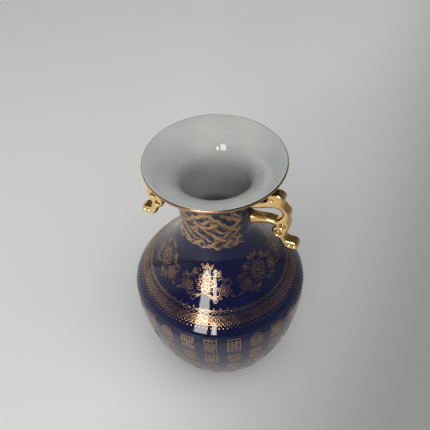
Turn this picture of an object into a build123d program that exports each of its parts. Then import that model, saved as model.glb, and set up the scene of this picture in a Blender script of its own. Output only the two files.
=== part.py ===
"""A two-handled porcelain vase: a flared mouth on a straight neck, a shoulder that falls away to a
sharp round turn, a full body that tapers down, and a turned foot ring. The thrown sections are joined
with slip, two moulded scroll handles are joined to the neck, and printed gilt transfers lie on the glaze.

Millimetres. The origin is the middle of the plane that the foot stands on, +Z is up, the handles lie
along X, and the front is towards -Y.
"""

import os
from math import cos, hypot, radians, sin

from build123d import *

# Joints between the thrown sections, as heights above the table.
FOOT_JOINT = 4.5
BELLY_JOINT = 87.5
NECK_JOINT = 150.0
MOUTH_JOINT = 176.0

# Radii of the pot.
FOOT_RADIUS = 34.5
FOOT_BORE = 28.5
FOOT_SPREAD = 0.6
FOOT_BEVEL = 1.0
FOOT_BARE_EDGE = 1.4
BELLY_RADIUS = 62.55
NECK_RADIUS = 25.2
WALL = 3.2
NECK_BORE = NECK_RADIUS - WALL

# The outside of the pot from the foot up, as cubic Bezier curves of (radius, height).
BELLY = [(36.0, FOOT_JOINT), (50.0, 18.0), (BELLY_RADIUS, 52.0), (BELLY_RADIUS, BELLY_JOINT)]
TURN = [(BELLY_RADIUS, BELLY_JOINT), (BELLY_RADIUS, 94.0), (54.5, 101.75), (49.05, 107.2)]
SLOPE = [(49.05, 107.2), (40.5, 115.75), (NECK_RADIUS, 135.0), (NECK_RADIUS, NECK_JOINT)]
COLLAR = [(NECK_RADIUS, NECK_JOINT), (NECK_RADIUS, 158.0), (NECK_RADIUS, 168.0), (NECK_RADIUS, MOUTH_JOINT)]
FLARE = [(NECK_RADIUS, MOUTH_JOINT), (NECK_RADIUS, 186.0), (32.5, 190.5), (44.3, 197.0)]
OUTSIDE = [BELLY, TURN, SLOPE, COLLAR, FLARE]

# The inside of the pot, a wall's thickness in from the outside.
FLOOR_RADIUS = 24.0
FLOOR_HEIGHT = 9.5
BELLY_INSIDE = [(FLOOR_RADIUS, FLOOR_HEIGHT), (43.5, 10.5), (59.35, 49.5), (59.35, BELLY_JOINT)]
TURN_INSIDE = [(59.35, BELLY_JOINT), (59.35, 92.4), (52.2, 99.53), (46.79, 104.94)]
SLOPE_INSIDE = [(46.79, 104.94), (38.1, 113.63), (NECK_BORE, 134.0), (NECK_BORE, NECK_JOINT)]
FLARE_INSIDE = [(NECK_BORE, MOUTH_JOINT), (NECK_BORE, 186.5), (27.8, 195.0), (43.2, 199.7)]

# The rounded lip joins the two lines of the mouth.
LIP_OUTER = (44.3, 197.0)
LIP_EDGE = (45.1, 198.9)
LIP_INNER = (43.2, 199.7)

# Printed gilding lies on the glaze as a thin skin. Azimuths are degrees from the front towards +X.
GILDING = 0.15
NECK_PANEL = (143.0, 175.8)
NECK_PANEL_SPAN = 130.0
SPRAY = (112.6, 135.5)
FIRST_SPRAY = 8.0
SPRAY_SPAN = 54.0
SPRAY_COUNT = 6
BORDER = (99.6, 110.4)
COLUMN = (19.5, 92.5)
COLUMN_SPAN = 9.2
COLUMN_COUNT = 24
LIP_GILDING = [(44.38, 196.87), (45.33, 198.98), (43.18, 199.86)]

# The handles: cast plates in a scroll pattern, with softened edges and pits pressed into both faces.
# Their outline runs clockwise from the neck, as (distance from the axis, height). The left one was set
# leaning a little.
HANDLE_THICKNESS = 7.7
HANDLE_EDGE = 0.5
ARM_END = NECK_RADIUS - 1.2
ARM_HEIGHT = 165.0
LEFT_LEAN = 3.0
PIT_DEPTH = 0.9
PITS = [((45.8, 157.6), 1.7), ((43.3, 150.8), 1.7), ((37.8, 178.2), 1.0)]
HEAD_TOP = [(ARM_END, 173.0), (28.0, 173.5), (34.0, 176.7), (35.2, 181.5), (38.0, 184.0), (43.5, 184.2)]
BACK = [
    (46.3, 181.3), (45.8, 175.5), (50.5, 169.5), (50.2, 164.0),
    (50.8, 158.0), (49.5, 152.5), (48.4, 148.0),
]
SCOOP = [(48.6, 143.8), (50.5, 141.2), (53.0, 140.6), (55.0, 141.9), (56.0, 144.3), (57.2, 145.4)]
HOOK = [
    (57.9, 142.6), (56.9, 139.6), (54.3, 137.6), (50.8, 137.4),
    (47.6, 138.9), (44.7, 143.6), (40.6, 148.6),
]
LOWER_CURL = [(39.4, 153.0), (41.4, 156.7)]
ARM_UNDERSIDE = [(38.0, 157.5), (33.0, 156.3), (28.0, 154.0), (ARM_END, 153.0)]
ARM_TOP = [(ARM_END, 161.0), (28.3, 161.0), (35.5, 161.9), (40.5, 161.3)]
LOOP = [
    (43.2, 163.0), (45.3, 168.2), (43.0, 171.7), (40.5, 172.2),
    (35.5, 171.0), (28.3, 167.7), (ARM_END, 167.0),
]

os.makedirs("parts", exist_ok=True)


def bezier_point(curve, t):
    """The point of a cubic Bezier curve at parameter t, from 0 to 1."""
    weights = ((1 - t) ** 3, 3 * t * (1 - t) ** 2, 3 * t**2 * (1 - t), t**3)
    return tuple(sum(weight * corner[axis] for weight, corner in zip(weights, curve)) for axis in (0, 1))


def height_parameter(curve, height):
    """Where a rising curve passes a height, found by halving; an end of the curve when it doesn't."""
    low, high = 0.0, 1.0
    for _ in range(40):
        middle = (low + high) / 2
        if bezier_point(curve, middle)[1] < height:
            low = middle
        else:
            high = middle
    return round((low + high) / 2, 9)


def blend(first, second, t):
    """The point a share t of the way from the first point to the second."""
    return tuple(a + (b - a) * t for a, b in zip(first, second))


def upper_part(curve, t):
    """The stretch of a Bezier curve above parameter t, by de Casteljau's construction."""
    a, b, c, d = curve
    ab, bc, cd = blend(a, b, t), blend(b, c, t), blend(c, d, t)
    abc, bcd = blend(ab, bc, t), blend(bc, cd, t)
    return [blend(abc, bcd, t), bcd, cd, d]


def stretch(low, high):
    """The parts of the outside line between two heights."""
    found = []
    for curve in OUTSIDE:
        start = height_parameter(curve, low)
        end = height_parameter(curve, high)
        if end - start > 0.001:
            above = upper_part(curve, start)
            cut = (end - start) / (1 - start)
            below = upper_part(above[::-1], 1 - cut)
            found.append(below[::-1])
    return found


def raised(curve, thickness):
    """A curve lifted off the glaze: each end moves along its own normal and takes its near corner with it."""
    lifted = []
    for corner, (start, finish) in zip(curve, ((0, 1), (0, 1), (2, 3), (2, 3))):
        across = curve[finish][0] - curve[start][0]
        along = curve[finish][1] - curve[start][1]
        scale = thickness / hypot(across, along)
        lifted.append((corner[0] + along * scale, corner[1] - across * scale))
    return lifted


def radial_plane(azimuth):
    """The upright plane through the axis at an azimuth, with X outwards and Y up."""
    turn = radians(azimuth - 90)
    return Plane(origin=(0, 0, 0), x_dir=(cos(turn), sin(turn), 0), z_dir=(sin(turn), -cos(turn), 0))


def write(piece, name):
    """Label a finished piece and write it as a STEP file of the same name."""
    piece.part.label = name
    export_step(piece.part, f"parts/{name}.step")


def transfer(name, heights, azimuth, span):
    """One printed transfer: a thin skin between two heights, centred on an azimuth."""
    glaze = stretch(*heights)
    print_face = [raised(curve, GILDING) for curve in glaze]
    with BuildPart() as skin:
        with BuildSketch(radial_plane(azimuth - span / 2)):
            with BuildLine():
                for curve in glaze + print_face:
                    Bezier(*curve)
                Line(glaze[0][0], print_face[0][0])
                Line(glaze[-1][-1], print_face[-1][-1])
            make_face()
        revolve(axis=Axis.Z, revolution_arc=span)
    write(skin, name)


def handle_plane(side, lean):
    """The mid plane of a handle on one side of the neck, X outwards, leaning down about its arm roots."""
    turn = radians(lean)
    outwards = Vector(side * cos(turn), 0, -sin(turn))
    upwards = Vector(side * sin(turn), 0, cos(turn))
    origin = Vector(side * NECK_RADIUS, 0, ARM_HEIGHT) - outwards * NECK_RADIUS - upwards * ARM_HEIGHT
    return Plane(origin=origin, x_dir=outwards, z_dir=(0, -side, 0))


def cast_handle(name, side, lean):
    """One handle: the scroll plate, softened at its edges, pitted, and cut to the round of the neck."""
    middle = handle_plane(side, lean)
    with BuildPart() as handle:
        with BuildSketch(middle):
            with BuildLine():
                Spline(*HEAD_TOP)
                Spline(HEAD_TOP[-1], *BACK)
                Spline(BACK[-1], *SCOOP)
                Spline(SCOOP[-1], *HOOK)
                Spline(HOOK[-1], *LOWER_CURL)
                Spline(LOWER_CURL[-1], *ARM_UNDERSIDE)
                Line(ARM_UNDERSIDE[-1], ARM_TOP[0])
                Spline(*ARM_TOP)
                Spline(ARM_TOP[-1], *LOOP)
                Line(LOOP[-1], HEAD_TOP[0])
            make_face()
        extrude(amount=HANDLE_THICKNESS / 2, both=True)
        faces_and_rims = handle.faces().filter_by(Axis.Y)
        chamfer(faces_and_rims.edges(), HANDLE_EDGE)
        for face_offset in (-HANDLE_THICKNESS / 2, HANDLE_THICKNESS / 2):
            with BuildSketch(middle.offset(face_offset)):
                for place, radius in PITS:
                    with Locations(place):
                        Circle(radius)
            extrude(amount=PIT_DEPTH, both=True, mode=Mode.SUBTRACT)
        with BuildSketch(Plane.XY.offset(NECK_JOINT)):
            Circle(NECK_RADIUS)
        extrude(amount=MOUTH_JOINT - NECK_JOINT, mode=Mode.SUBTRACT)
    write(handle, name)


# The foot ring, left unglazed where it stands.
with BuildPart() as foot_ring:
    with BuildSketch(Plane.XZ):
        with BuildLine():
            Polyline(
                (FOOT_BORE, FOOT_JOINT),
                (FOOT_BORE + FOOT_SPREAD, FOOT_BEVEL),
                (FOOT_BORE + FOOT_SPREAD + FOOT_BEVEL, 0),
                (FOOT_RADIUS - FOOT_BARE_EDGE, 0),
                (FOOT_RADIUS, FOOT_BEVEL),
                (FOOT_RADIUS + FOOT_SPREAD, FOOT_JOINT),
                close=True,
            )
        make_face()
    revolve(axis=Axis.Z)
write(foot_ring, "foot_ring")

# The body below the turn of the shoulder, with the floor of the pot.
with BuildPart() as lower_body:
    with BuildSketch(Plane.XZ):
        with BuildLine():
            Bezier(*BELLY)
            Line(BELLY[-1], BELLY_INSIDE[-1])
            Bezier(*BELLY_INSIDE)
            Polyline(BELLY_INSIDE[0], (0, FLOOR_HEIGHT), (0, FOOT_JOINT), BELLY[0])
        make_face()
    revolve(axis=Axis.Z)
write(lower_body, "lower_body")

# The shoulder, from the widest line up to the foot of the neck.
with BuildPart() as shoulder:
    with BuildSketch(Plane.XZ):
        with BuildLine():
            Bezier(*TURN)
            Bezier(*SLOPE)
            Line(SLOPE[-1], SLOPE_INSIDE[-1])
            Bezier(*SLOPE_INSIDE)
            Bezier(*TURN_INSIDE)
            Line(TURN_INSIDE[0], TURN[0])
        make_face()
    revolve(axis=Axis.Z)
write(shoulder, "shoulder")

# The straight neck.
with BuildPart() as neck:
    with BuildSketch(Plane.XY.offset(NECK_JOINT)):
        Circle(NECK_RADIUS)
        Circle(NECK_BORE, mode=Mode.SUBTRACT)
    extrude(amount=MOUTH_JOINT - NECK_JOINT)
write(neck, "neck")

# The flared mouth with its rounded lip.
with BuildPart() as mouth:
    with BuildSketch(Plane.XZ):
        with BuildLine():
            Bezier(*FLARE)
            ThreePointArc(LIP_OUTER, LIP_EDGE, LIP_INNER)
            Bezier(*FLARE_INSIDE)
            Line(FLARE_INSIDE[0], FLARE[0])
        make_face()
    revolve(axis=Axis.Z)
write(mouth, "mouth")

# The gilt line painted round the lip.
with BuildPart() as lip_gilding:
    with BuildSketch(Plane.XZ):
        with BuildLine():
            ThreePointArc(LIP_OUTER, LIP_EDGE, LIP_INNER)
            Line(LIP_INNER, LIP_GILDING[2])
            ThreePointArc(*LIP_GILDING)
            Line(LIP_GILDING[0], LIP_OUTER)
        make_face()
    revolve(axis=Axis.Z)
write(lip_gilding, "lip_gilding")

# The handles.
cast_handle("right_handle", 1, 0)
cast_handle("left_handle", -1, LEFT_LEAN)

# The gilt transfers.
transfer("neck_transfer_front", NECK_PANEL, 0, NECK_PANEL_SPAN)
transfer("neck_transfer_back", NECK_PANEL, 180, NECK_PANEL_SPAN)
transfer("shoulder_border", BORDER, 0, 360)
for number in range(SPRAY_COUNT):
    transfer(f"shoulder_spray_{number + 1}", SPRAY, FIRST_SPRAY + number * 360 / SPRAY_COUNT, SPRAY_SPAN)
for number in range(COLUMN_COUNT):
    transfer(f"fret_column_{number + 1:02d}", COLUMN, number * 360 / COLUMN_COUNT, COLUMN_SPAN)
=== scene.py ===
"""The looks of a two-handled cobalt and gilt porcelain vase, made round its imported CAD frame.

Metres. The foot stands on z = 0, the handles lie along X and the front is towards -Y.
"""

import math

import bpy
import numpy as np
from mathutils import Matrix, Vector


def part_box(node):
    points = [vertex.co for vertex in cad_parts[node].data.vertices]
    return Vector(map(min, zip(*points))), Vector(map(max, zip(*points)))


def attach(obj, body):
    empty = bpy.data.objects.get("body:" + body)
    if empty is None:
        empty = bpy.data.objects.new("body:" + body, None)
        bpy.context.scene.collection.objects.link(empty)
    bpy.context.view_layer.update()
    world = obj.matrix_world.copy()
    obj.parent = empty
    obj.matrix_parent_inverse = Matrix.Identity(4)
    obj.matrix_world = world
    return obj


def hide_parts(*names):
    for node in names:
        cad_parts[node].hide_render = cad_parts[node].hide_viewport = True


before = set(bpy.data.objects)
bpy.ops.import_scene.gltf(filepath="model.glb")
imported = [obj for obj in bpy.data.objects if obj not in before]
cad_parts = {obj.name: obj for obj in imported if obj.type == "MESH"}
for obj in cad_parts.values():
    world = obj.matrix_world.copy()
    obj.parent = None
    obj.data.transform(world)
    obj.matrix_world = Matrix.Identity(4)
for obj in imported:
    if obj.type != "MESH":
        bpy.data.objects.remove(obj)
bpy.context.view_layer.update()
MM = 0.001

# The viewpoint: a hand-held camera above the front right of the vase, looking down on it, a little tilted.
camera_data = bpy.data.cameras.new("camera")
camera_data.lens = 47.3
camera_data.sensor_width = 36.0
camera = bpy.data.objects.new("camera", camera_data)
camera.location = (0.1030, -0.2416, 0.4256)
camera_turn = Matrix.Rotation(math.radians(23.41), 3, "Z")
camera_pitch = Matrix.Rotation(math.radians(43.55), 3, "X")
camera_roll = Matrix.Rotation(math.radians(-2.89), 3, "Z")
camera.rotation_euler = (camera_turn @ camera_pitch @ camera_roll).to_euler()
bpy.context.scene.collection.objects.link(camera)
bpy.context.scene.camera = camera


# The table: one wide, plain, pale laminate sheet, with painted shade: its colour darkens towards the right
# along a slanting line, for the vase's soft shadow and the dimmer side of the room.
TABLE_HALF = 4.0
TABLE_PALE = (0.80, 0.81, 0.795, 1)
# The dark grey is painted shade: the vase's soft shadow and the dimmer room on the right.
TABLE_PAINTED_SHADE = (0.33, 0.335, 0.33, 1)
table_mesh = bpy.data.meshes.new("table")
table_corners = [(-1, -1), (1, -1), (1, 1), (-1, 1)]
table_mesh.from_pydata([(TABLE_HALF * x, TABLE_HALF * y, 0) for x, y in table_corners], [], [(0, 1, 2, 3)])
table = bpy.data.objects.new("table", table_mesh)
bpy.context.scene.collection.objects.link(table)


def new_material(name):
    """A material with its node tree, its Principled shader, and a Texture Coordinate node for patterns."""
    material = bpy.data.materials.new(name)
    material.use_nodes = True
    tree = material.node_tree
    return material, tree, tree.nodes["Principled BSDF"], tree.nodes.new("ShaderNodeTexCoord")


def table_finish():
    """Pale laminate with painted shade: a pale grey running into a dark grey towards the right along a
    slanting line across the table, with a soft satin face.
    """
    material, tree, shader, where = new_material("table_laminate")
    slant = tree.nodes.new("ShaderNodeMapping")
    slant.inputs["Rotation"].default_value[2] = math.radians(187)
    slant.inputs["Location"].default_value[0] = 0.72
    slant.inputs["Scale"].default_value = (4.0, 4.0, 4.0)
    gradient = tree.nodes.new("ShaderNodeTexGradient")
    colours = tree.nodes.new("ShaderNodeValToRGB")
    colours.color_ramp.interpolation = "EASE"
    # Painted shade: the ramp's dark end lies to the right of the vase.
    colours.color_ramp.elements[0].color = TABLE_PAINTED_SHADE
    colours.color_ramp.elements[1].color = TABLE_PALE
    tree.links.new(where.outputs["Object"], slant.inputs["Vector"])
    tree.links.new(slant.outputs["Vector"], gradient.inputs["Vector"])
    tree.links.new(gradient.outputs["Fac"], colours.inputs["Fac"])
    tree.links.new(colours.outputs["Color"], shader.inputs["Base Color"])
    shader.inputs["Roughness"].default_value = 0.6
    shader.inputs["Specular IOR Level"].default_value = 0.25
    return material


table.data.materials.append(table_finish())


# The room: a tall window and a narrow one beside it in front, a pale wall low on the left, and a dim room
# behind and on the right.
def window(name, azimuth, distance, low, high, width, power, tint):
    """An upright area light at an azimuth from the front, facing the vase, between two heights."""
    light = bpy.data.lights.new(name, "AREA")
    light.shape = "RECTANGLE"
    light.size = width
    light.size_y = high - low
    light.energy = power
    light.color = tint
    lamp = bpy.data.objects.new(name, light)
    turn = math.radians(azimuth)
    lamp.location = (distance * math.sin(turn), -distance * math.cos(turn), (low + high) / 2)
    lamp.rotation_euler = (math.radians(90), 0, turn)
    bpy.context.scene.collection.objects.link(lamp)
    return lamp


window("tall_window", -1.5, 3.0, 0.47, 2.25, 0.76, 38, (1.0, 0.98, 0.95))
window("narrow_window", 13.5, 3.0, 0.47, 1.6, 0.30, 13, (1.0, 0.98, 0.95))

# Daylight from the ceiling above, soft and wide, which lights the table but isn't seen in the glaze.
ceiling_light = bpy.data.lights.new("ceiling_light", "AREA")
ceiling_light.size = 2.4
ceiling_light.energy = 40
ceiling = bpy.data.objects.new("ceiling_light", ceiling_light)
ceiling.location = (0.55, -0.55, 2.0)
ceiling.rotation_euler = (math.radians(23), math.radians(16), 0)
ceiling.visible_glossy = False
bpy.context.scene.collection.objects.link(ceiling)

world = bpy.data.worlds.new("room")
bpy.context.scene.world = world
world.use_nodes = True
room = world.node_tree
ROOM_DIM = 0.07
WALL_GLOW = 0.9
WALL_TURN = math.radians(12)


def room_range(source, low, high, start, end):
    """A value that runs smoothly from start to end as a direction's part goes from low to high."""
    node = room.nodes.new("ShaderNodeMapRange")
    node.interpolation_type = "SMOOTHSTEP"
    for name, value in (("From Min", low), ("From Max", high), ("To Min", start), ("To Max", end)):
        node.inputs[name].default_value = value
    room.links.new(source, node.inputs["Value"])
    return node.outputs["Result"]


def room_math(operation, first, second):
    """A value worked out from two others."""
    node = room.nodes.new("ShaderNodeMath")
    node.operation = operation
    for socket, value in zip(node.inputs, (first, second)):
        if isinstance(value, float):
            socket.default_value = value
        else:
            room.links.new(value, socket)
    return node.outputs["Value"]


room_where = room.nodes.new("ShaderNodeTexCoord")
room_turn = room.nodes.new("ShaderNodeMapping")
room_turn.inputs["Rotation"].default_value[2] = WALL_TURN
room_split = room.nodes.new("ShaderNodeSeparateXYZ")
room_back = room.nodes["Background"]
room_back.inputs["Color"].default_value = (0.97, 0.985, 1.0, 1)
room.links.new(room_where.outputs["Generated"], room_turn.inputs["Vector"])
room.links.new(room_turn.outputs["Vector"], room_split.inputs["Vector"])
leftward = room_range(room_split.outputs["X"], -0.85, 0.25, 1.0, 0.10)
backward = room_range(room_split.outputs["Y"], -0.8, 0.1, 0.35, 1.0)
under_ceiling = room_range(room_split.outputs["Z"], 0.26, 0.36, 1.0, 0.0)
walls = room_math("MULTIPLY", room_math("MULTIPLY", leftward, backward), under_ceiling)
glow = room_math("ADD", room_math("MULTIPLY", walls, WALL_GLOW), ROOM_DIM)
room.links.new(glow, room_back.inputs["Strength"])
bpy.context.scene.view_settings.view_transform = "Standard"


# The clay: a thin porcelain pot, thrown in five sections that are luted together, then glazed cobalt blue
# outside and clear over white inside. The joints are where the frame has them.
AROUND = 288
WALL = 3.2 * MM
foot_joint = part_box("lower_body")[0][2]
belly_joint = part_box("lower_body")[1][2]
belly_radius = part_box("lower_body")[1][0]
neck_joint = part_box("neck")[0][2]
mouth_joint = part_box("neck")[1][2]
neck_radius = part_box("neck")[1][0]
bore_radius = neck_radius - WALL


def bezier(corners, count):
    """Points along a cubic Bezier curve: the four corners weighted by the cubic Bernstein polynomials."""
    t = np.linspace(0, 1, count)[:, None]
    a, b, c, d = (np.array(corner) for corner in corners)
    return (1 - t) ** 3 * a + 3 * t * (1 - t) ** 2 * b + 3 * t**2 * (1 - t) * c + t**3 * d


def arc_through(first, middle, last, count):
    """Points along the circular arc that starts, passes and ends at three points."""
    a, b, c = (complex(*point) for point in (first, middle, last))
    side = (c - a) / (b - a)
    centre = a + (b - a) * (side - abs(side) ** 2) / (side - side.conjugate())
    start, through, end = (np.angle(point - centre) for point in (a, b, c))
    bow = np.unwrap([start, through, end])
    swing = np.linspace(bow[0], bow[2], count)
    return np.stack([
        centre.real + abs(a - centre) * np.cos(swing),
        centre.imag + abs(a - centre) * np.sin(swing),
    ], 1)


BELLY = [
    (36.0 * MM, foot_joint), (50.0 * MM, 18.0 * MM),
    (belly_radius, 52.0 * MM), (belly_radius, belly_joint),
]
TURN = [
    (belly_radius, belly_joint), (belly_radius, 94.0 * MM),
    (54.5 * MM, 101.75 * MM), (49.05 * MM, 107.2 * MM),
]
SLOPE = [TURN[-1], (40.5 * MM, 115.75 * MM), (neck_radius, 135.0 * MM), (neck_radius, neck_joint)]
FLARE = [
    (neck_radius, mouth_joint), (neck_radius, 186.0 * MM),
    (32.5 * MM, 190.5 * MM), (44.3 * MM, 197.0 * MM),
]
FLOOR_HEIGHT = 9.5 * MM
BELLY_IN = [
    (24.0 * MM, FLOOR_HEIGHT), (43.5 * MM, 10.5 * MM),
    (59.35 * MM, 49.5 * MM), (59.35 * MM, belly_joint),
]
TURN_IN = [BELLY_IN[-1], (59.35 * MM, 92.4 * MM), (52.2 * MM, 99.53 * MM), (46.79 * MM, 104.94 * MM)]
SLOPE_IN = [TURN_IN[-1], (38.1 * MM, 113.63 * MM), (bore_radius, 134.0 * MM), (bore_radius, neck_joint)]
FLARE_IN = [
    (bore_radius, mouth_joint), (bore_radius, 186.5 * MM),
    (27.8 * MM, 195.0 * MM), (43.2 * MM, 199.7 * MM),
]
LIP_EDGE = (45.1 * MM, 198.9 * MM)


def straight(first, last, count=2):
    """Points evenly spaced on the line between two points."""
    return np.linspace(first, last, count)


def section_normals(run):
    """The outward normals of a run of section points: its tangents turned a quarter to the right."""
    tangent = np.gradient(run, axis=0, edge_order=2 if len(run) > 2 else 1)
    normal = np.stack([tangent[:, 1], -tangent[:, 0]], 1)
    return normal / np.linalg.norm(normal, axis=1, keepdims=True)


def turned(name, runs, slots, around=AROUND):
    """A turned piece: section runs, joined end to end with a corner between, carried round the axis on a
    grid. Point (angle, step) lies at (radius cos angle, radius sin angle, height). A section that starts and
    ends on the axis is closed there by fans, and any other is a ring. Each run has its own material slot."""
    angle = np.arange(around) * 2 * math.pi / around
    on_axis = runs[0][0][0] < 1e-9
    points = np.concatenate([run[:-1] for run in runs] + ([runs[-1][-1:]] if on_axis else []))
    normals = [section_normals(run) for run in runs]
    start = np.concatenate([normal[:-1] for normal in normals])
    finish = np.concatenate([normal[1:] for normal in normals])
    slot = np.concatenate([np.full(len(run) - 1, index) for run, index in zip(runs, slots)])
    steps = len(points)
    edges = len(start)
    radius, height = points[:, 0], points[:, 1]
    grid = np.stack(
        [np.outer(np.cos(angle), radius), np.outer(np.sin(angle), radius), np.tile(height, (around, 1))], 2
    )
    here = np.arange(around)[:, None]
    there = (here + 1) % around
    step = np.arange(edges)[None, :]
    after = (step + 1) % steps
    quads = np.stack([
        here * steps + step, there * steps + step, there * steps + after, here * steps + after,
    ], 2)
    turn_here = np.stack([np.cos(angle), np.sin(angle)], 1)
    turn_there = np.roll(turn_here, -1, axis=0)

    def spread(direction, normal):
        out = np.zeros((around, edges, 3))
        out[:, :, :2] = direction[:, None, :] * normal[None, :, :1]
        out[:, :, 2] = normal[None, :, 1]
        return out

    corners = np.stack([
        spread(turn_here, start), spread(turn_there, start),
        spread(turn_there, finish), spread(turn_here, finish),
    ], 2)
    vertices = grid.reshape(-1, 3)
    faces = quads.reshape(-1, 4)
    mesh = bpy.data.meshes.new(name)
    if on_axis:
        first_pole, last_pole = np.arange(around) * steps, np.arange(around) * steps + steps - 1
        keep = np.arange(len(vertices))
        keep[first_pole] = first_pole[0]
        keep[last_pole] = last_pole[0]
        faces = keep[faces]
        used, faces = np.unique(faces, return_inverse=True)
        vertices = vertices[used]
        faces = faces.reshape(around, edges, 4)
        middle, rim = np.arange(1, edges - 1), [0, edges - 1]
        fan_low, fan_high = faces[:, rim[0]][:, [0, 2, 3]], faces[:, rim[1]][:, [0, 1, 2]]
        polygons = fan_low.tolist() + faces[:, middle].reshape(-1, 4).tolist() + fan_high.tolist()
        low_corners, high_corners = corners[:, rim[0]][:, [0, 2, 3]], corners[:, rim[1]][:, [0, 1, 2]]
        shading = np.concatenate(
            [low_corners.reshape(-1, 3), corners[:, middle].reshape(-1, 3), high_corners.reshape(-1, 3)]
        )
        indices = np.concatenate(
            [np.full(around, slot[0]), np.tile(slot[middle], around), np.full(around, slot[rim[1]])]
        )
    else:
        polygons = faces.tolist()
        shading = corners.reshape(-1, 3)
        indices = np.tile(slot, around)
    mesh.from_pydata(vertices.tolist(), [], polygons)
    mesh.polygons.foreach_set("material_index", indices.astype(np.int32))
    mesh.polygons.foreach_set("use_smooth", np.ones(len(polygons), bool))
    mesh.normals_split_custom_set(shading.tolist())
    piece = bpy.data.objects.new(name, mesh)
    bpy.context.scene.collection.objects.link(piece)
    return piece


def glaze_ripple(tree, shader, where, scale, strength):
    """The faint orange peel of a fired glaze: low soft noise as bump."""
    ripple = tree.nodes.new("ShaderNodeTexNoise")
    ripple.inputs["Scale"].default_value = scale
    ripple.inputs["Detail"].default_value = 1.5
    bump = tree.nodes.new("ShaderNodeBump")
    bump.inputs["Strength"].default_value = strength
    bump.inputs["Distance"].default_value = 0.00012
    tree.links.new(where.outputs["Object"], ripple.inputs["Vector"])
    tree.links.new(ripple.outputs["Fac"], bump.inputs["Height"])
    tree.links.new(bump.outputs["Normal"], shader.inputs["Normal"])


def mottled(tree, where, scale, detail, first, second, target, low=0.35, high=0.65):
    """A socket driven between two values or colours by soft noise on the piece's own coordinates."""
    noise = tree.nodes.new("ShaderNodeTexNoise")
    noise.inputs["Scale"].default_value = scale
    noise.inputs["Detail"].default_value = detail
    ramp = tree.nodes.new("ShaderNodeValToRGB")
    ramp.color_ramp.elements[0].position = low
    ramp.color_ramp.elements[1].position = high
    ramp.color_ramp.elements[0].color = first
    ramp.color_ramp.elements[1].color = second
    tree.links.new(where.outputs["Object"], noise.inputs["Vector"])
    tree.links.new(noise.outputs["Fac"], ramp.inputs["Fac"])
    tree.links.new(ramp.outputs["Color"], target)


def cobalt_finish():
    """Cobalt glaze: a deep blue body under a clear gloss, a little uneven in depth where the glaze ran."""
    material, tree, shader, where = new_material("cobalt_glaze")
    deep, pale = (0.0030, 0.0042, 0.026, 1), (0.0055, 0.0070, 0.042, 1)
    mottled(tree, where, 38, 4, deep, pale, shader.inputs["Base Color"])
    glossy, dulled = (0.035, 0.035, 0.035, 1), (0.075, 0.075, 0.075, 1)
    mottled(tree, where, 160, 2, glossy, dulled, shader.inputs["Roughness"])
    shader.inputs["IOR"].default_value = 1.55
    glaze_ripple(tree, shader, where, 210, 0.22)
    return material


def white_finish():
    """Clear glaze over white porcelain: cool white with faint grey clouds."""
    material, tree, shader, where = new_material("white_glaze")
    mottled(tree, where, 45, 3, (0.40, 0.415, 0.40, 1), (0.46, 0.47, 0.455, 1), shader.inputs["Base Color"])
    shader.inputs["Roughness"].default_value = 0.07
    shader.inputs["IOR"].default_value = 1.52
    glaze_ripple(tree, shader, where, 190, 0.2)
    return material


def biscuit_finish():
    """Unglazed porcelain: warm white and dry, with the fine grit and scuffs of a foot that has been used."""
    material, tree, shader, where = new_material("bare_porcelain")
    grit, clean = (0.40, 0.37, 0.33, 1), (0.66, 0.63, 0.58, 1)
    mottled(tree, where, 260, 6, grit, clean, shader.inputs["Base Color"], 0.3, 0.55)
    shader.inputs["Roughness"].default_value = 0.75
    glaze_ripple(tree, shader, where, 2400, 0.8)
    return material


cobalt = cobalt_finish()
white = white_finish()
biscuit = biscuit_finish()
OUTSIDE, INSIDE, BARE = 0, 1, 2


def finish_clay(piece, node):
    """Give a clay piece its three finishes and let it stand for its CAD node."""
    for material in (cobalt, white, biscuit):
        piece.data.materials.append(material)
    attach(piece, "root")
    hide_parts(node)


foot_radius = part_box("foot_ring")[1][0]
foot_bore = 28.5 * MM
foot_section = [
    (foot_bore + 0.6 * MM, 0.9 * MM),
    (foot_bore + 0.95 * MM, 0.25 * MM),
    (foot_bore + 1.6 * MM, 0),
    (foot_radius - 2.0 * MM, 0),
    (foot_radius - 1.2 * MM, 0.3 * MM),
    (foot_radius - 0.85 * MM, 1.0 * MM),
]
foot_ring = turned(
    "foot_ring",
    [
        np.array(foot_section),
        straight(foot_section[-1], (foot_radius, foot_joint), 5),
        straight((foot_radius, foot_joint), (foot_bore, foot_joint)),
        straight((foot_bore, foot_joint), foot_section[0], 3),
    ],
    [BARE, OUTSIDE, OUTSIDE, BARE],
)
finish_clay(foot_ring, "foot_ring")

lower_body = turned(
    "lower_body",
    [
        straight((0, foot_joint), BELLY[0], 6),
        bezier(BELLY, 72),
        straight(BELLY[-1], BELLY_IN[-1]),
        bezier(BELLY_IN, 48)[::-1],
        straight(BELLY_IN[0], (0, FLOOR_HEIGHT), 6),
    ],
    [BARE, OUTSIDE, INSIDE, INSIDE, INSIDE],
)
finish_clay(lower_body, "lower_body")

shoulder = turned(
    "shoulder",
    [
        np.concatenate([bezier(TURN, 40)[:-1], bezier(SLOPE, 56)]),
        straight(SLOPE[-1], SLOPE_IN[-1]),
        np.concatenate([bezier(TURN_IN, 30)[:-1], bezier(SLOPE_IN, 40)])[::-1],
        straight(TURN_IN[0], TURN[0]),
    ],
    [OUTSIDE, INSIDE, INSIDE, INSIDE],
)
finish_clay(shoulder, "shoulder")

neck = turned(
    "neck",
    [
        straight((neck_radius, neck_joint), (neck_radius, mouth_joint), 10),
        straight((neck_radius, mouth_joint), (bore_radius, mouth_joint)),
        straight((bore_radius, mouth_joint), (bore_radius, neck_joint), 10),
        straight((bore_radius, neck_joint), (neck_radius, neck_joint)),
    ],
    [OUTSIDE, INSIDE, INSIDE, INSIDE],
)
finish_clay(neck, "neck")

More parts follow.
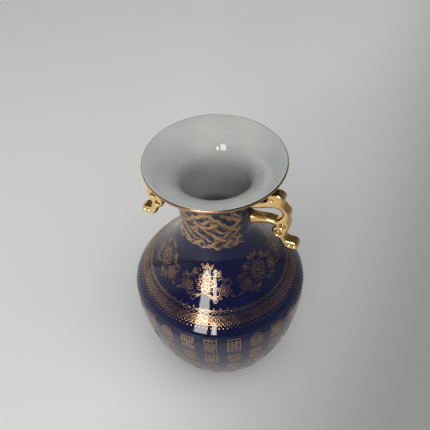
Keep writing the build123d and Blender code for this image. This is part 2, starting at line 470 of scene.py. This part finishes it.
lip_arc = arc_through(FLARE[-1], LIP_EDGE, FLARE_IN[-1], 17)
LIP_BLUE = 4
lip_outer_run = np.concatenate([bezier(FLARE, 48)[:-1], lip_arc[: LIP_BLUE + 1]])
lip_inner_run = np.concatenate([lip_arc[LIP_BLUE:-1], bezier(FLARE_IN, 48)[::-1]])
mouth = turned(
    "mouth",
    [lip_outer_run, lip_inner_run, straight(FLARE_IN[0], FLARE[0])],
    [OUTSIDE, INSIDE, INSIDE],
)
finish_clay(mouth, "mouth")


# The lip line: liquid gold brushed round the outer edge of the lip on a banding wheel, a hair thick.
GILT_SKIN = 0.06 * MM


def brushed_gold_finish(name, pale, deep, rough_low, rough_high, scale):
    """Fired gold: metal that is a little redder and duller where it is thin or rubbed."""
    material, tree, shader, where = new_material(name)
    mottled(tree, where, scale, 5, deep, pale, shader.inputs["Base Color"], 0.3, 0.6)
    low, high = (rough_low,) * 3 + (1,), (rough_high,) * 3 + (1,)
    mottled(tree, where, scale * 2.3, 4, low, high, shader.inputs["Roughness"])
    shader.inputs["Metallic"].default_value = 1.0
    return material, tree, shader, where


transfer_gold = brushed_gold_finish(
    "transfer_gold", (0.62, 0.40, 0.22, 1), (0.38, 0.22, 0.12, 1), 0.22, 0.32, 160
)[0]


def finish_gilding(piece, *nodes):
    """Give a gilt piece its gold and let it stand for its CAD skins."""
    piece.data.materials.append(transfer_gold)
    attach(piece, "root")
    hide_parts(*nodes)


lip_line_under = np.concatenate([bezier(FLARE, 48)[-3:-1], lip_arc[:12]])
lip_line_face = lip_line_under + section_normals(lip_line_under) * GILT_SKIN
lip_line_back = lip_line_under - section_normals(lip_line_under) * GILT_SKIN
lip_gilding = turned(
    "lip_gilding",
    [
        lip_line_face,
        straight(lip_line_face[-1], lip_line_back[-1]),
        lip_line_back[::-1],
        straight(lip_line_back[0], lip_line_face[0]),
    ],
    [0, 0, 0, 0],
)
finish_gilding(lip_gilding, "lip_gilding")


# The handles: cast porcelain plates in a scroll pattern, luted to the neck and covered all over with bright
# lustre gold. The edges are rounded by sponging, and pits are pressed into both faces. The left one leans.
HANDLE_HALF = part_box("right_handle")[1][1]
HANDLE_ROUND = 1.9 * MM
HANDLE_GRAIN = 0.36 * MM
ARM_END = 22.7
ARM_HEIGHT = 165.0
LEFT_LEAN = 3.0
PITS = [
    (45.9, 157.7, 2.5, 2.6), (43.3, 150.9, 2.5, 2.6), (38.0, 178.4, 1.3, 1.3),
    (51.6, 142.1, 1.7, 1.7), (55.0, 141.9, 1.6, 1.6),
]
HANDLE_RUNS = [
    [(ARM_END, 173.2), (25.5, 173.0), (29.0, 173.9), (33.2, 176.0)],
    [(33.8, 176.2), (34.8, 178.4), (35.1, 181.6), (38.0, 183.9), (43.2, 184.2), (46.2, 181.6), (46.0, 178.0)],
    [(45.8, 175.9), (47.6, 173.4), (49.7, 171.2), (50.7, 168.6), (50.3, 165.4)],
    [(49.9, 163.6), (50.8, 160.9), (50.9, 157.8), (49.9, 154.6)],
    [(49.4, 152.6), (48.5, 149.4), (48.3, 147.5), (49.0, 146.2)],
    [(50.4, 145.7), (53.2, 145.8), (55.8, 145.1), (57.4, 143.3), (57.5, 140.7), (55.6, 138.4), (52.6, 137.5)],
    [(47.9, 138.6), (45.7, 141.3), (44.6, 144.4)],
    [(43.6, 145.4), (41.0, 147.4), (39.3, 150.4), (39.5, 153.8), (41.0, 156.3)],
    [(40.6, 157.3), (38.0, 157.5), (33.0, 156.3), (28.0, 154.0), (25.2, 152.8), (ARM_END, 152.6)],
    [(ARM_END, 161.3), (25.2, 161.0), (28.3, 161.0), (35.5, 161.9), (40.5, 161.4)],
    [(42.2, 161.6), (43.7, 163.4), (45.1, 166.2), (45.2, 169.0), (43.4, 171.4), (40.5, 172.1), (35.5, 170.8)],
    [(28.3, 167.9), (25.2, 167.1), (ARM_END, 166.9)],
]


def smooth_run(points, per_span):
    """A Catmull-Rom curve through points: its slope at each is that of the chord between the two beside."""
    points = np.array(points, float)
    padded = np.concatenate([[2 * points[0] - points[1]], points, [2 * points[-1] - points[-2]]])
    a, b, c, d = padded[:-3], padded[1:-2], padded[2:-1], padded[3:]
    t = (np.arange(per_span) / per_span)[None, :, None]
    a, b, c, d = a[:, None], b[:, None], c[:, None], d[:, None]
    curve = 0.5 * (2 * b + (c - a) * t + (2 * a - 5 * b + 4 * c - d) * t**2 + (3 * b - a - 3 * c + d) * t**3)
    return np.concatenate([curve.reshape(-1, 2), points[-1:]])


def nearest_on_outline(places, outline):
    """For each place, the nearest point of a closed outline, the inward normal there, and the distance."""
    start = outline
    along = np.roll(outline, -1, axis=0) - outline
    share = ((places[:, None] - start) * along).sum(2) / (along**2).sum(1)
    foot = start + np.clip(share, 0, 1)[:, :, None] * along
    gap = np.linalg.norm(places[:, None] - foot, axis=2)
    best = gap.argmin(1)
    rows = np.arange(len(places))
    inward = np.stack([along[:, 1], -along[:, 0]], 1)
    inward /= np.linalg.norm(inward, axis=1, keepdims=True)
    return foot[rows, best], inward[best], gap[rows, best]


def relax(places, edges, rounds, amount):
    """Smooth a mesh: each vertex moves part of the way to the mean of its neighbours, a few times over."""
    count = np.bincount(edges.ravel(), minlength=len(places))[:, None]
    for _ in range(rounds):
        total = np.zeros_like(places)
        np.add.at(total, edges[:, 0], places[edges[:, 1]])
        np.add.at(total, edges[:, 1], places[edges[:, 0]])
        places = places + amount * (total / count - places)
    return places


def handle_casting():
    """The plate in its own plane: extruded outline, remeshed evenly, its edges rolled to a quarter circle of
    HANDLE_ROUND, and its pits pressed in by a cosine bowl."""
    outline = np.concatenate([smooth_run(run, 6) for run in HANDLE_RUNS]) * MM
    count = len(outline)
    front = np.column_stack([outline[:, 0], np.full(count, -HANDLE_HALF), outline[:, 1]])
    back = np.column_stack([outline[:, 0], np.full(count, HANDLE_HALF), outline[:, 1]])
    here = np.arange(count)
    there = (here + 1) % count
    sides = np.stack([here, here + count, there + count, there], 1).tolist()
    mesh = bpy.data.meshes.new("handle_plate")
    caps = [here[::-1].tolist(), (here + count).tolist()]
    mesh.from_pydata(np.concatenate([front, back]).tolist(), [], sides + caps)
    plate = bpy.data.objects.new("handle_plate", mesh)
    bpy.context.scene.collection.objects.link(plate)
    remesh = plate.modifiers.new("even", "REMESH")
    remesh.mode = "VOXEL"
    remesh.voxel_size = HANDLE_GRAIN
    even = bpy.data.meshes.new_from_object(plate.evaluated_get(bpy.context.evaluated_depsgraph_get()))
    bpy.data.objects.remove(plate)
    places = np.zeros(len(even.vertices) * 3)
    even.vertices.foreach_get("co", places)
    places = places.reshape(-1, 3)
    edges = np.zeros(len(even.edges) * 2, np.int64)
    even.edges.foreach_get("vertices", edges)
    foot, inward, gap = nearest_on_outline(places[:, [0, 2]], outline)
    depth = np.minimum(gap, HANDLE_ROUND)
    rise = np.abs(places[:, 1]) - (HANDLE_HALF - HANDLE_ROUND)
    edge_zone = (gap < HANDLE_ROUND) & (rise > 0)
    swing = np.arctan2(rise, HANDLE_ROUND - depth)
    rolled = foot + inward * (HANDLE_ROUND * (1 - np.cos(swing)))[:, None]
    places[edge_zone, 0] = rolled[edge_zone, 0]
    places[edge_zone, 2] = rolled[edge_zone, 1]
    side = np.sign(places[:, 1])
    height = np.abs(places[:, 1])
    height[edge_zone] = (HANDLE_HALF - HANDLE_ROUND + HANDLE_ROUND * np.sin(swing))[edge_zone]
    for across, up, radius, press in PITS:
        away = np.hypot(places[:, 0] - across * MM, places[:, 2] - up * MM) / (radius * MM)
        bowl = np.where(away < 1, 0.5 + 0.5 * np.cos(np.pi * np.minimum(away, 1)), 0)
        height -= press * MM * bowl * (height > HANDLE_HALF / 2)
    places[:, 1] = side * height
    return relax(places, edges.reshape(-1, 2), 6, 0.5), even


def stand_handle(name, side, lean, casting):
    """Turn a casting about its arm roots, put it on one side of the neck, and name the node it replaces."""
    places, even = casting
    turn = math.radians(lean)
    out, up = places[:, 0] - neck_radius, places[:, 2] - ARM_HEIGHT * MM
    stood = np.column_stack([
        side * (neck_radius + out * math.cos(turn) + up * math.sin(turn)),
        places[:, 1],
        ARM_HEIGHT * MM - out * math.sin(turn) + up * math.cos(turn),
    ])
    mesh = even.copy()
    mesh.name = name
    mesh.vertices.foreach_set("co", stood.ravel())
    if side < 0:
        mesh.flip_normals()
    mesh.polygons.foreach_set("use_smooth", np.ones(len(mesh.polygons), bool))
    mesh.update()
    piece = bpy.data.objects.new(name, mesh)
    bpy.context.scene.collection.objects.link(piece)
    piece.data.materials.clear()
    piece.data.materials.append(lustre_gold)
    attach(piece, "root")
    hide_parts(name)


def lustre_finish():
    """Lustre gold on a casting: mirror-bright, warm, with soft dents from the mould and duller hollows."""
    material, tree, shader, where = brushed_gold_finish(
        "lustre_gold", (1.0, 0.69, 0.31, 1), (0.94, 0.57, 0.21, 1), 0.12, 0.22, 120
    )
    glaze_ripple(tree, shader, where, 330, 0.45)
    return material


lustre_gold = lustre_finish()
casting = handle_casting()
stand_handle("right_handle", 1, 0, casting)
stand_handle("left_handle", -1, LEFT_LEAN, casting)


# The printed gilding: screen-printed gold cut from sheets and slid onto the fired glaze. Every print is drawn
# flat, in millimetres across and up the wall, and laid on the outside curve as thin closed strips.
RISE = 0.05 * MM
SINK = 0.06 * MM
LONGEST_SPAN = 1.5
wall_line = np.concatenate([
    bezier(BELLY, 400)[:-1],
    bezier(TURN, 200)[:-1],
    bezier(SLOPE, 300)[:-1],
    straight(SLOPE[-1], FLARE[0], 60)[:-1],
    bezier(FLARE, 100),
])
wall_normal = section_normals(wall_line)
wall_reach = np.concatenate([[0], np.cumsum(np.linalg.norm(np.diff(wall_line, axis=0), axis=1))])


def reach_at(height):
    """How far up the wall, along its curve, a height in millimetres lies."""
    return np.interp(height * MM, wall_line[:, 1], wall_reach)


class Print:
    """One gilt print: strips and dots gathered as flat drawings about an azimuth and a height, then made a
    mesh. A drawing's place across is an angle times the radius that it was drawn for, and its place up is
    along the wall's curve."""

    def __init__(self, azimuth, height, radius):
        self.azimuth = math.radians(azimuth)
        self.base = reach_at(height)
        self.radius = radius * MM
        self.places, self.faces, self.count = [], [], 0

    def lay(self, across, up, lift):
        """The places on the wall of flat points, lifted off the glaze."""
        angle = self.azimuth + across * MM / self.radius
        reach = self.base + up * MM
        outwards = np.interp(reach, wall_reach, wall_normal[:, 0])
        upwards = np.interp(reach, wall_reach, wall_normal[:, 1])
        radius = np.interp(reach, wall_reach, wall_line[:, 0]) + lift * outwards
        height = np.interp(reach, wall_reach, wall_line[:, 1]) + lift * upwards
        return np.stack([radius * np.sin(angle), -radius * np.cos(angle), height], -1)

    def follow(self, line, width, closed):
        """Put points into a line's long spans, so that it bends with the wall, and share out its width."""
        width = np.broadcast_to(np.asarray(width, float), len(line))
        if closed:
            line, width = np.concatenate([line, line[:1]]), np.append(width, width[0])
        span = np.linalg.norm(np.diff(line, axis=0), axis=1)
        pieces = np.maximum(np.ceil(span / LONGEST_SPAN), 1).astype(int)
        span_of = np.repeat(np.arange(len(span)), pieces)
        share = (np.arange(pieces.sum()) - np.repeat(np.cumsum(pieces) - pieces, pieces)) / pieces[span_of]
        even = line[span_of] + share[:, None] * np.diff(line, axis=0)[span_of]
        wide = width[span_of] + share * np.diff(width)[span_of]
        return (even, wide) if closed else (np.concatenate([even, line[-1:]]), np.append(wide, width[-1]))

    def strip(self, line, width, closed=False):
        """A strip along a flat line, of one width or one for each point: four corners at each point."""
        line, width = self.follow(np.asarray(line, float), width, closed)
        squeeze = np.interp(self.base + line[:, 1] * MM, wall_reach, wall_line[:, 0]) / self.radius
        if closed:
            along = np.roll(line, -1, axis=0) - np.roll(line, 1, axis=0)
        else:
            along = np.gradient(line, axis=0)
        along[:, 0] *= squeeze
        along /= np.maximum(np.linalg.norm(along, axis=1, keepdims=True), 1e-9)
        half = np.broadcast_to(np.asarray(width, float) / 2, len(line))
        side = np.stack([-along[:, 1] * half / squeeze, along[:, 0] * half], 1)
        left, right = line + side, line - side
        corners = np.stack([
            self.lay(left[:, 0], left[:, 1], RISE),
            self.lay(right[:, 0], right[:, 1], RISE),
            self.lay(right[:, 0], right[:, 1], -SINK),
            self.lay(left[:, 0], left[:, 1], -SINK),
        ], 1)
        steps = len(line)
        here = np.arange(steps if closed else steps - 1)[:, None]
        there = (here + 1) % steps
        corner = np.arange(4)[None, :]
        after = (corner + 1) % 4
        quads = np.stack([here * 4 + corner, here * 4 + after, there * 4 + after, there * 4 + corner], 2)
        quads = quads.reshape(-1, 4)
        if not closed:
            last = (steps - 1) * 4
            quads = np.concatenate([quads, [[3, 2, 1, 0], [last, last + 1, last + 2, last + 3]]])
        self.places.append(corners.reshape(-1, 3))
        self.faces += (quads + self.count).tolist()
        self.count += steps * 4

    def dots(self, centres, size, sides=8):
        """Round dots: a low fan of triangles above the glaze, a short rim and a fan below it."""
        centres = np.asarray(centres, float).reshape(-1, 2)
        turn = np.arange(sides) * 2 * math.pi / sides
        squeeze = np.interp(self.base + centres[:, 1] * MM, wall_reach, wall_line[:, 0]) / self.radius
        across = centres[:, :1] + size / 2 * np.cos(turn) / squeeze[:, None]
        up = centres[:, 1:] + size / 2 * np.sin(turn)
        top = self.lay(centres[:, 0], centres[:, 1], 2 * RISE)[:, None]
        bottom = self.lay(centres[:, 0], centres[:, 1], -SINK)[:, None]
        corners = np.concatenate([top, self.lay(across, up, RISE), self.lay(across, up, -SINK), bottom], 1)
        here = np.arange(sides)
        there = (here + 1) % sides
        fan = np.stack([np.zeros(sides, int), here + 1, there + 1], 1)
        rim = np.stack([here + 1, here + 1 + sides, there + 1 + sides, there + 1], 1)
        under = np.stack([np.full(sides, 2 * sides + 1), there + 1 + sides, here + 1 + sides], 1)
        per_dot = 2 * sides + 2
        start = self.count + np.arange(len(centres))[:, None, None] * per_dot
        for part in (fan, rim, under):
            self.faces += (part[None] + start).reshape(-1, part.shape[1]).tolist()
        self.places.append(corners.reshape(-1, 3))
        self.count += per_dot * len(centres)

    def mesh(self, name, *nodes):
        """Make the gathered strips and dots one gilt piece that stands for its CAD skins."""
        mesh = bpy.data.meshes.new(name)
        mesh.from_pydata(np.concatenate(self.places).tolist(), [], self.faces)
        piece = bpy.data.objects.new(name, mesh)
        bpy.context.scene.collection.objects.link(piece)
        finish_gilding(piece, *(nodes or (name,)))
        return piece


def petal(root, heading, length, width, count=12):
    """A closed teardrop from its root: half width sin(pi t ^ 0.75), out on one side, back on the other."""
    t = np.linspace(0, 1, count // 2 + 1)
    half = width / 2 * np.sin(np.pi * t**0.75)
    out = np.concatenate([t, t[-2:0:-1]]) * length
    side = np.concatenate([half, -half[-2:0:-1]])
    turn = math.radians(heading)
    forward, left = np.array([math.cos(turn), math.sin(turn)]), np.array([-math.sin(turn), math.cos(turn)])
    return np.array(root) + out[:, None] * forward + side[:, None] * left


def curl(start, heading, length, turns, count=14):
    """A line whose heading turns steadily faster as its steps grow shorter, so that it winds into a curl."""
    t = np.linspace(0, 1, count)
    swing = math.radians(heading) + 2 * math.pi * turns * t**1.6
    step = length / count * (1.35 - t)
    return np.array(start) + np.cumsum(np.stack([step * np.cos(swing), step * np.sin(swing)], 1), axis=0)


def ring(centre, across, up, count=12):
    """A closed ellipse."""
    turn = np.arange(count) * 2 * math.pi / count
    return np.array(centre) + np.stack([across / 2 * np.cos(turn), up / 2 * np.sin(turn)], 1)


# The shoulder border: a ring with a row of dots over it, crossed swags, a row of dotted ovals between paired
# bars, a beaded lower edge, and a row of loose pearls outside it. The same unit repeats all the way round.
BORDER_UNITS = 64
BORDER_RADIUS = 53.0
BORDER_HEIGHT = 107.3
unit = 2 * math.pi * BORDER_RADIUS / BORDER_UNITS
all_round = np.linspace(0, 2 * math.pi * BORDER_RADIUS, 256, endpoint=False)
places = np.arange(BORDER_UNITS) * unit
border = Print(0, BORDER_HEIGHT, BORDER_RADIUS)


def hoop(up, width, wave=0.0, waves=BORDER_UNITS, phase=0.0):
    """A line all the way round the border, level or waving."""
    level = up + wave * np.sin(all_round / BORDER_RADIUS * waves + phase)
    border.strip(np.stack([all_round, level], 1), width, closed=True)


hoop(0, 0.62)
hoop(-1.15, 0.22)
hoop(-3.75, 0.3)
hoop(-8.15, 0.34)
hoop(-9.75, 0.26)
for place in places:
    border.strip([(place, -1.3), (place + unit / 2, -3.6), (place + unit, -1.3)], 0.26)
    border.strip(ring((place, -5.95), 2.9, 3.7, 14), 0.36, closed=True)
    border.strip(ring((place, -5.95), 1.3, 1.9, 8), 0.24, closed=True)
    for bar in (-0.34, 0.34):
        border.strip([(place + unit / 2 + bar, -4.1), (place + unit / 2 + bar, -7.8)], 0.26)
border.dots(np.stack([places, np.full(BORDER_UNITS, 1.35)], 1), 0.8)
border.dots(np.stack([places + unit / 2, np.full(BORDER_UNITS, -0.55)], 1), 0.6)
halves = np.arange(2 * BORDER_UNITS) * unit / 2
border.dots(np.stack([halves + unit / 4, np.full(2 * BORDER_UNITS, -8.95)], 1), 1.15)
border.dots(np.stack([halves, np.full(2 * BORDER_UNITS, -10.2)], 1), 0.7)
border.dots(np.stack([halves + unit / 4, np.full(2 * BORDER_UNITS, -12.0)], 1), 0.95)
border.mesh("shoulder_border")


# The shoulder sprays: six prints of open blossoms, buds and curling leaves in fine gold line, set evenly
# round.
SPRAYS = 6
FIRST_SPRAY = 8.0
SPRAY_HEIGHT = 112.8
SPRAY_RADIUS = 37.5
FINE = 0.32


def blossom(spray, centre, size, petals, heading):
    """An open flower: a dotted eye, a ring of small petals and a ring of large ones with veins between."""
    spray.dots([centre], size * 0.16)
    spray.strip(ring(centre, size * 0.30, size * 0.30, 10), FINE * 0.9, closed=True)
    for turn in heading + np.arange(petals) * 360 / petals:
        way = np.array([math.cos(math.radians(turn)), math.sin(math.radians(turn))])
        beside = turn + 180 / petals
        other = np.array([math.cos(math.radians(beside)), math.sin(math.radians(beside))])
        floret = petal(centre + way * size * 0.17, turn, size * 0.22, size * 0.15, 8)
        spray.strip(floret, FINE * 0.8, closed=True)
        spray.strip(petal(centre + other * size * 0.25, beside, size * 0.27, size * 0.25), FINE, closed=True)
        spray.strip([centre + other * size * 0.29, centre + other * size * 0.42], FINE * 0.7)


def leaf(spray, root, heading, length):
    """A leaf in outline with a midrib."""
    turn = math.radians(heading)
    tip = np.array(root) + length * 0.8 * np.array([math.cos(turn), math.sin(turn)])
    spray.strip(petal(root, heading, length, length * 0.38), FINE * 0.85, closed=True)
    spray.strip([root, tip], FINE * 0.7)


for number in range(SPRAYS):
    spray = Print(FIRST_SPRAY + number * 360 / SPRAYS, SPRAY_HEIGHT, SPRAY_RADIUS)
    blossom(spray, np.array([0.0, 11.0]), 14.5, 8, 22.5 + 7 * number)
    for hand in (-1, 1):
        blossom(spray, np.array([hand * 12.4, 6.4]), 9.2, 6, 15 + 11 * number)
        flip = 90 - 90 * hand
        spray.strip(curl((hand * 1.0, 4.2), 270 + hand * 40, 11.0, hand * 0.66), FINE)
        spray.strip(curl((hand * 2.0, 1.6), flip + hand * 10, 12.5, -hand * 0.8), FINE)
        spray.strip(curl((hand * 7.6, 12.6), 90 - hand * 50, 11.0, -hand * 0.75), FINE)
        spray.strip(curl((hand * 11.0, 12.0), 90 - hand * 15, 10.0, hand * 0.75), FINE)
        spray.strip(curl((hand * 4.2, 18.4), 90 - hand * 40, 9.0, -hand * 0.8), FINE)
        spray.strip(curl((hand * 1.4, 20.2), 90 - hand * 20, 7.0, hand * 0.85), FINE)
        spray.strip(curl((hand * 15.6, 9.6), 90 - hand * 60, 6.0, hand * 0.75), FINE)
        leaf(spray, (hand * 6.4, 16.4), 90 - hand * 52, 5.2)
        leaf(spray, (hand * 9.6, 15.6), 90 - hand * 10, 5.0)
        leaf(spray, (hand * 3.4, 3.2), 270 + hand * 30, 4.0)
        leaf(spray, (hand * 7.6, 2.6), 270 + hand * 52, 4.0)
        leaf(spray, (hand * 15.8, 2.8), 270 + hand * 60, 3.6)
        leaf(spray, (hand * 2.4, 21.0), 90 - hand * 34, 4.6)
        leaf(spray, (hand * 13.2, 12.6), 90 - hand * 62, 4.2)
    spray.strip([(0, 18.4), (0, 21.4)], FINE)
    spray.strip(petal((0, 21.2), 90, 4.2, 2.4), FINE, closed=True)
    spray.mesh(f"shoulder_spray_{number + 1}")


# The neck prints: one panel in front and one behind, thick with ribbons, clouds, ringed eyes and scales, with
# a ruled top line and a scalloped lower edge.
PANEL_HEIGHT = 142.6
PANEL_HALF = 28.0
PANEL_TOP = 33.0
PANEL_ROWS = 7
PANEL_COLUMNS = 6


def ribbon(panel, centre, length, sway, slant, width):
    """A broad S-shaped ribbon, thick in the middle and pointed at both ends, with a fine line under it."""
    t = np.linspace(-1, 1, 15)
    along = t * length / 2
    rise = sway * np.sin(math.pi * t)
    turn = math.radians(slant)
    line = np.stack([
        along * math.cos(turn) - rise * math.sin(turn),
        along * math.sin(turn) + rise * math.cos(turn),
    ], 1)
    panel.strip(centre + line, np.maximum(width * np.cos(t * math.pi / 2) ** 0.8, 0.15))
    panel.strip(centre + line * 0.8 + np.array([0, -width * 0.5 - 0.5]), 0.26)


def cloud(panel, centre, size, hand):
    """A cloud head: two curls back to back over a dotted eye."""
    panel.strip(curl(centre, 90 - 70 * hand, size * 3.4, hand * 1.2, 16), 0.5)
    panel.strip(curl(centre, 90 + 70 * hand, size * 2.8, -hand * 1.1, 16), 0.42)
    panel.dots([np.array(centre) + (0, -size * 0.35)], 0.8)


def eye(panel, centre, size):
    """A ringed dot."""
    panel.strip(ring(centre, size, size * 0.72, 12), 0.45, closed=True)
    panel.dots([centre], size * 0.38)


def scales(panel, centre, rows, columns, pitch):
    """A patch of overlapping scales: small arches set in staggered rows."""
    arch = np.linspace(0, math.pi, 6)
    shape = np.stack([pitch * 0.5 * np.cos(arch), pitch * 0.5 * np.sin(arch)], 1)
    for row in range(rows):
        for column in range(columns):
            step = np.array([(column - columns / 2 + row % 2 / 2) * pitch, (row - rows / 2) * pitch * 0.62])
            panel.strip(centre + step + shape, 0.34)


for name, azimuth, seed in (("neck_transfer_front", 0, 21), ("neck_transfer_back", 180, 9)):
    panel = Print(azimuth, PANEL_HEIGHT, neck_radius / MM)
    chance = np.random.default_rng(seed)
    edge = np.linspace(-PANEL_HALF, PANEL_HALF, 85)
    scallop = 1.6 + 1.3 * np.abs(np.sin(edge * math.pi / 9.3)) + 0.5 * np.sin(edge * 1.1)
    panel.strip(np.stack([edge, scallop], 1), 1.1 + 0.5 * np.sin(edge * 0.9))
    panel.strip(np.stack([edge, scallop + 1.5], 1), 0.3)
    panel.strip(np.stack([edge, np.full(85, PANEL_TOP)], 1), 0.3)
    for row in range(PANEL_ROWS):
        for column in range(PANEL_COLUMNS):
            cell = 2 * PANEL_HALF / PANEL_COLUMNS
            across = -PANEL_HALF + (column + 0.5 + 0.25 * (-1) ** row) * cell + chance.uniform(-0.8, 0.8)
            across = np.clip(across, -PANEL_HALF + 5.5, PANEL_HALF - 5.5)
            up = 5.6 + row * 4.0 + chance.uniform(-0.5, 0.5)
            slant = chance.uniform(-15, 15)
            hand = 1 if chance.uniform() < 0.5 else -1
            length = chance.uniform(7.5, 10.0)
            ribbon(panel, (across, up), length, hand * 1.5, slant, chance.uniform(1.5, 2.6))
            kind = chance.integers(4)
            beside = (across + hand * chance.uniform(2.0, 4.0), up + 2.3)
            if kind == 0:
                cloud(panel, beside, chance.uniform(1.3, 1.8), hand)
            elif kind == 1:
                eye(panel, beside, chance.uniform(2.2, 2.9))
            elif kind == 2:
                scales(panel, beside, 3, 4, 1.25)
            else:
                cloud(panel, beside, 1.3, -hand)
                eye(panel, (beside[0] - hand * 3.2, up + 2.4), 1.9)
    panel.mesh(name)


# The fret columns: twenty-four upright rows of four medallions down the body. Each medallion is a symmetrical
# comb and lozenge fret that is the same left and right and spells nothing.
COLUMNS = 24
MEDALLION_BOTTOMS = [76.4, 57.6, 38.8, 20.4]
MEDALLION_WIDE = 9.0
MEDALLION_TALL = 15.2
FRET = 0.52


def upright(column, across, low, high):
    """Two upright bars, one on each side of the middle."""
    for hand in (-1, 1):
        column.strip([(hand * across, low), (hand * across, (low + high) / 2), (hand * across, high)], FRET)


def level(column, half, up, width=FRET):
    """A level bar across the middle."""
    column.strip([(-half, up), (0, up), (half, up)], width)


def lozenge(column, up, half_wide, half_tall):
    """A closed diamond."""
    corners = [(half_wide, up), (0, up + half_tall), (-half_wide, up), (0, up - half_tall)]
    column.strip(corners, FRET, closed=True)


def medallion(column, base, kind):
    """One of four frets: combs, nested lozenges, a ladder, or an arch over bars."""
    wide, tall = MEDALLION_WIDE / 2, MEDALLION_TALL
    if kind == 0:
        for across in (0.7, 1.9, 3.1, 4.3):
            upright(column, across, base + tall * 0.56, base + tall)
            upright(column, across, base, base + tall * 0.34)
        level(column, wide, base + tall * 0.56)
        level(column, wide, base + tall * 0.34)
        lozenge(column, base + tall * 0.45, 1.3, 0.8)
    elif kind == 1:
        for size in (1.0, 0.62, 0.28):
            lozenge(column, base + tall / 2, wide * size, tall / 2 * size)
        for up in (0.04, 0.96):
            level(column, wide, base + tall * up)
        upright(column, 4.2, base, base + tall * 0.3)
        upright(column, 4.2, base + tall * 0.7, base + tall)
    elif kind == 2:
        upright(column, 4.3, base, base + tall)
        upright(column, 1.5, base + tall * 0.12, base + tall * 0.88)
        for up in (0.03, 0.2, 0.35, 0.65, 0.8, 0.97):
            level(column, wide, base + tall * up)
        column.dots([(0, base + tall / 2)], 1.6)
    else:
        for size in (1.0, 0.66, 0.34):
            arch = np.linspace(0, math.pi, 9)
            rise = base + tall * 0.62 + tall * 0.36 * size * np.sin(arch)
            curve = np.stack([wide * size * np.cos(arch), rise], 1)
            column.strip(curve, FRET)
            column.strip(curve * (1, -1) + (0, 2 * base + tall), FRET)
        for up in (0.42, 0.5, 0.58):
            level(column, wide, base + tall * up)


for number in range(COLUMNS):
    column = Print(number * 360 / COLUMNS, MEDALLION_BOTTOMS[0], belly_radius / MM)
    for row, bottom in enumerate(MEDALLION_BOTTOMS):
        base = (reach_at(bottom) - reach_at(MEDALLION_BOTTOMS[0])) / MM
        medallion(column, base, (number + row) % 4)
    column.mesh(f"fret_column_{number + 1:02d}")
